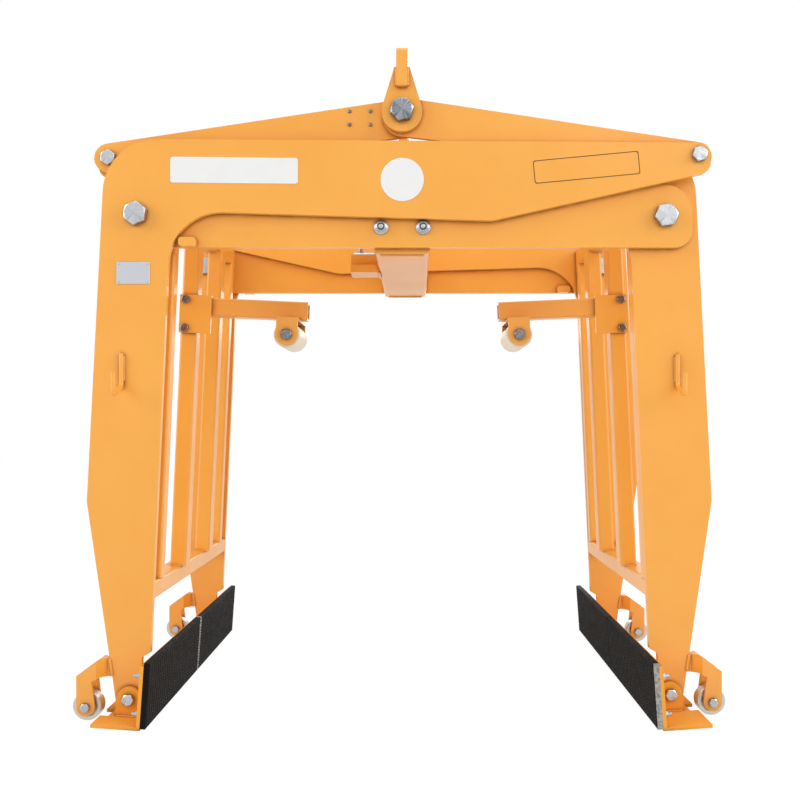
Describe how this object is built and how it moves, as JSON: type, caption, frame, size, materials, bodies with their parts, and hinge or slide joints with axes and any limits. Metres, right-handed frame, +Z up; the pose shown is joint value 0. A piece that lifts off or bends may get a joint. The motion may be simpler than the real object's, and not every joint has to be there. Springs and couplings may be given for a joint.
{
  "type": "brick grab",
  "caption": "Crane-hung brick grab whose crossed bell-crank legs swing inwards when it is lifted, to grip a pack of bricks between tilting rubber-faced pads.",
  "frame": {"origin": "on the ground, midway between the legs and midway between the front and rear plates, below the lifting pins", "axes": "+X to the right seen from the front, +Y to the rear, +Z up"},
  "size_m": [1.454, 1, 1.56],
  "materials": {
    "orange_paint": "semi-gloss powder coat",
    "zinc_fasteners": "zinc plated",
    "zinc_wheels": "zinc plated, dull",
    "nylon_rollers": "turned nylon",
    "rubber_pads": "moulded grip"
  },
  "bodies": {
    "beam_frame": {"beam_front_plate": "orange_paint", "beam_rear_plate": "orange_paint", "centre_channel": "orange_paint", "channel_screws": "zinc_fasteners", "stop_pegs": "orange_paint", "latch_housing": "orange_paint", "left_pivot_bolts": "zinc_fasteners", "right_pivot_bolts": "zinc_fasteners"},
    "left_leg": {"left_leg_front_plate": "orange_paint", "left_leg_rear_plate": "orange_paint", "left_leg_uprights": "orange_paint", "left_leg_upper_rail": "orange_paint", "left_leg_lower_rail": "orange_paint", "left_leg_posts": "orange_paint", "left_wheel_forks": "orange_paint", "left_wheel_axles": "zinc_fasteners", "left_hook": "orange_paint", "left_roller_bracket": "orange_paint", "left_roller_arm": "orange_paint", "left_roller_fork": "orange_paint", "left_roller_fasteners": "zinc_fasteners", "left_lug_bolts": "zinc_fasteners", "left_pad_bolts": "zinc_fasteners", "left_leg_spacers": "orange_paint"},
    "right_leg": {"right_leg_front_plate": "orange_paint", "right_leg_rear_plate": "orange_paint", "right_leg_uprights": "orange_paint", "right_leg_upper_rail": "orange_paint", "right_leg_lower_rail": "orange_paint", "right_leg_posts": "orange_paint", "right_wheel_forks": "orange_paint", "right_wheel_axles": "zinc_fasteners", "right_hook": "orange_paint", "right_roller_bracket": "orange_paint", "right_roller_arm": "orange_paint", "right_roller_fork": "orange_paint", "right_roller_fasteners": "zinc_fasteners", "right_lug_bolts": "zinc_fasteners", "right_pad_bolts": "zinc_fasteners"},
    "right_links": {"right_link_front": "orange_paint", "right_link_rear": "orange_paint"},
    "left_links": {"left_link_front": "orange_paint", "left_link_rear": "orange_paint"},
    "lifting_part": {"lifting_beam": "orange_paint", "lifting_cheeks": "orange_paint", "lifting_pins": "zinc_fasteners", "latch_hanger": "orange_paint"},
    "left_pad": {"left_pad_carrier": "orange_paint", "left_rubber_pads": "rubber_pads"},
    "right_pad": {"right_pad_carrier": "orange_paint", "right_rubber_pads": "rubber_pads"},
    "left_front_wheel": {"wheel_left_front": "zinc_wheels"},
    "left_rear_wheel": {"wheel_left_rear": "zinc_wheels"},
    "right_front_wheel": {"wheel_right_front": "zinc_wheels"},
    "right_rear_wheel": {"wheel_right_rear": "zinc_wheels"},
    "left_guide_roller": {"left_roller": "nylon_rollers"},
    "right_guide_roller": {"right_roller": "nylon_rollers"},
    "latch": {"latch_bolt": "zinc_fasteners"}
  },
  "joints": [
    {"name": "left_leg_swing", "type": "hinge", "parent": "beam_frame", "child": "left_leg", "pos_m": [-0.588, 0, 1.119], "axis": [0, -1, 0], "range_deg": [0, 6]},
    {"name": "right_leg_swing", "type": "hinge", "parent": "beam_frame", "child": "right_leg", "pos_m": [0.588, 0, 1.119], "axis": [0, 1, 0], "range_deg": [0, 6]},
    {"name": "right_links_swing", "type": "hinge", "parent": "left_leg", "child": "right_links", "pos_m": [0.658, 0, 1.251], "axis": [0, 1, 0], "range_deg": [0, 14.22]},
    {"name": "left_links_swing", "type": "hinge", "parent": "right_leg", "child": "left_links", "pos_m": [-0.658, 0, 1.251], "axis": [0, -1, 0], "range_deg": [0, 14.22]},
    {"name": "lifting_swing", "type": "hinge", "parent": "right_links", "child": "lifting_part", "pos_m": [0, 0, 1.348], "axis": [0, -1, 0], "range_deg": [0, 8.22]},
    {"name": "left_pad_tilt", "type": "hinge", "parent": "left_leg", "child": "left_pad", "pos_m": [-0.602, 0, 0.048], "axis": [0, -1, 0], "range_deg": [-4, 4]},
    {"name": "left_front_wheel_spin", "type": "hinge", "parent": "left_leg", "child": "left_front_wheel", "pos_m": [-0.695, -0.41, 0.032], "axis": [0, 1, 0], "continuous": true},
    {"name": "left_rear_wheel_spin", "type": "hinge", "parent": "left_leg", "child": "left_rear_wheel", "pos_m": [-0.695, 0.41, 0.032], "axis": [0, 1, 0], "continuous": true},
    {"name": "left_roller_spin", "type": "hinge", "parent": "left_leg", "child": "left_guide_roller", "pos_m": [-0.28128, -0.138, 0.87048], "axis": [0, 1, 0], "continuous": true},
    {"name": "right_pad_tilt", "type": "hinge", "parent": "right_leg", "child": "right_pad", "pos_m": [0.602, 0, 0.048], "axis": [0, 1, 0], "range_deg": [-4, 4]},
    {"name": "right_front_wheel_spin", "type": "hinge", "parent": "right_leg", "child": "right_front_wheel", "pos_m": [0.695, -0.37, 0.032], "axis": [0, 1, 0], "continuous": true},
    {"name": "right_rear_wheel_spin", "type": "hinge", "parent": "right_leg", "child": "right_rear_wheel", "pos_m": [0.695, 0.37, 0.032], "axis": [0, 1, 0], "continuous": true},
    {"name": "right_roller_spin", "type": "hinge", "parent": "right_leg", "child": "right_guide_roller", "pos_m": [0.28128, -0.138, 0.87048], "axis": [0, 1, 0], "continuous": true},
    {"name": "latch_slide", "type": "slide", "parent": "beam_frame", "child": "latch", "axis": [1, 0, 0], "range_m": [0, 0.03]}
  ],
  "couplings": [
    {"joint": "right_leg_swing", "follows": "left_leg_swing", "ratio": 1},
    {"joint": "right_links_swing", "follows": "left_leg_swing", "ratio": 2.369},
    {"joint": "left_links_swing", "follows": "left_leg_swing", "ratio": 2.369},
    {"joint": "lifting_swing", "follows": "left_leg_swing", "ratio": 1.369}
  ]
}
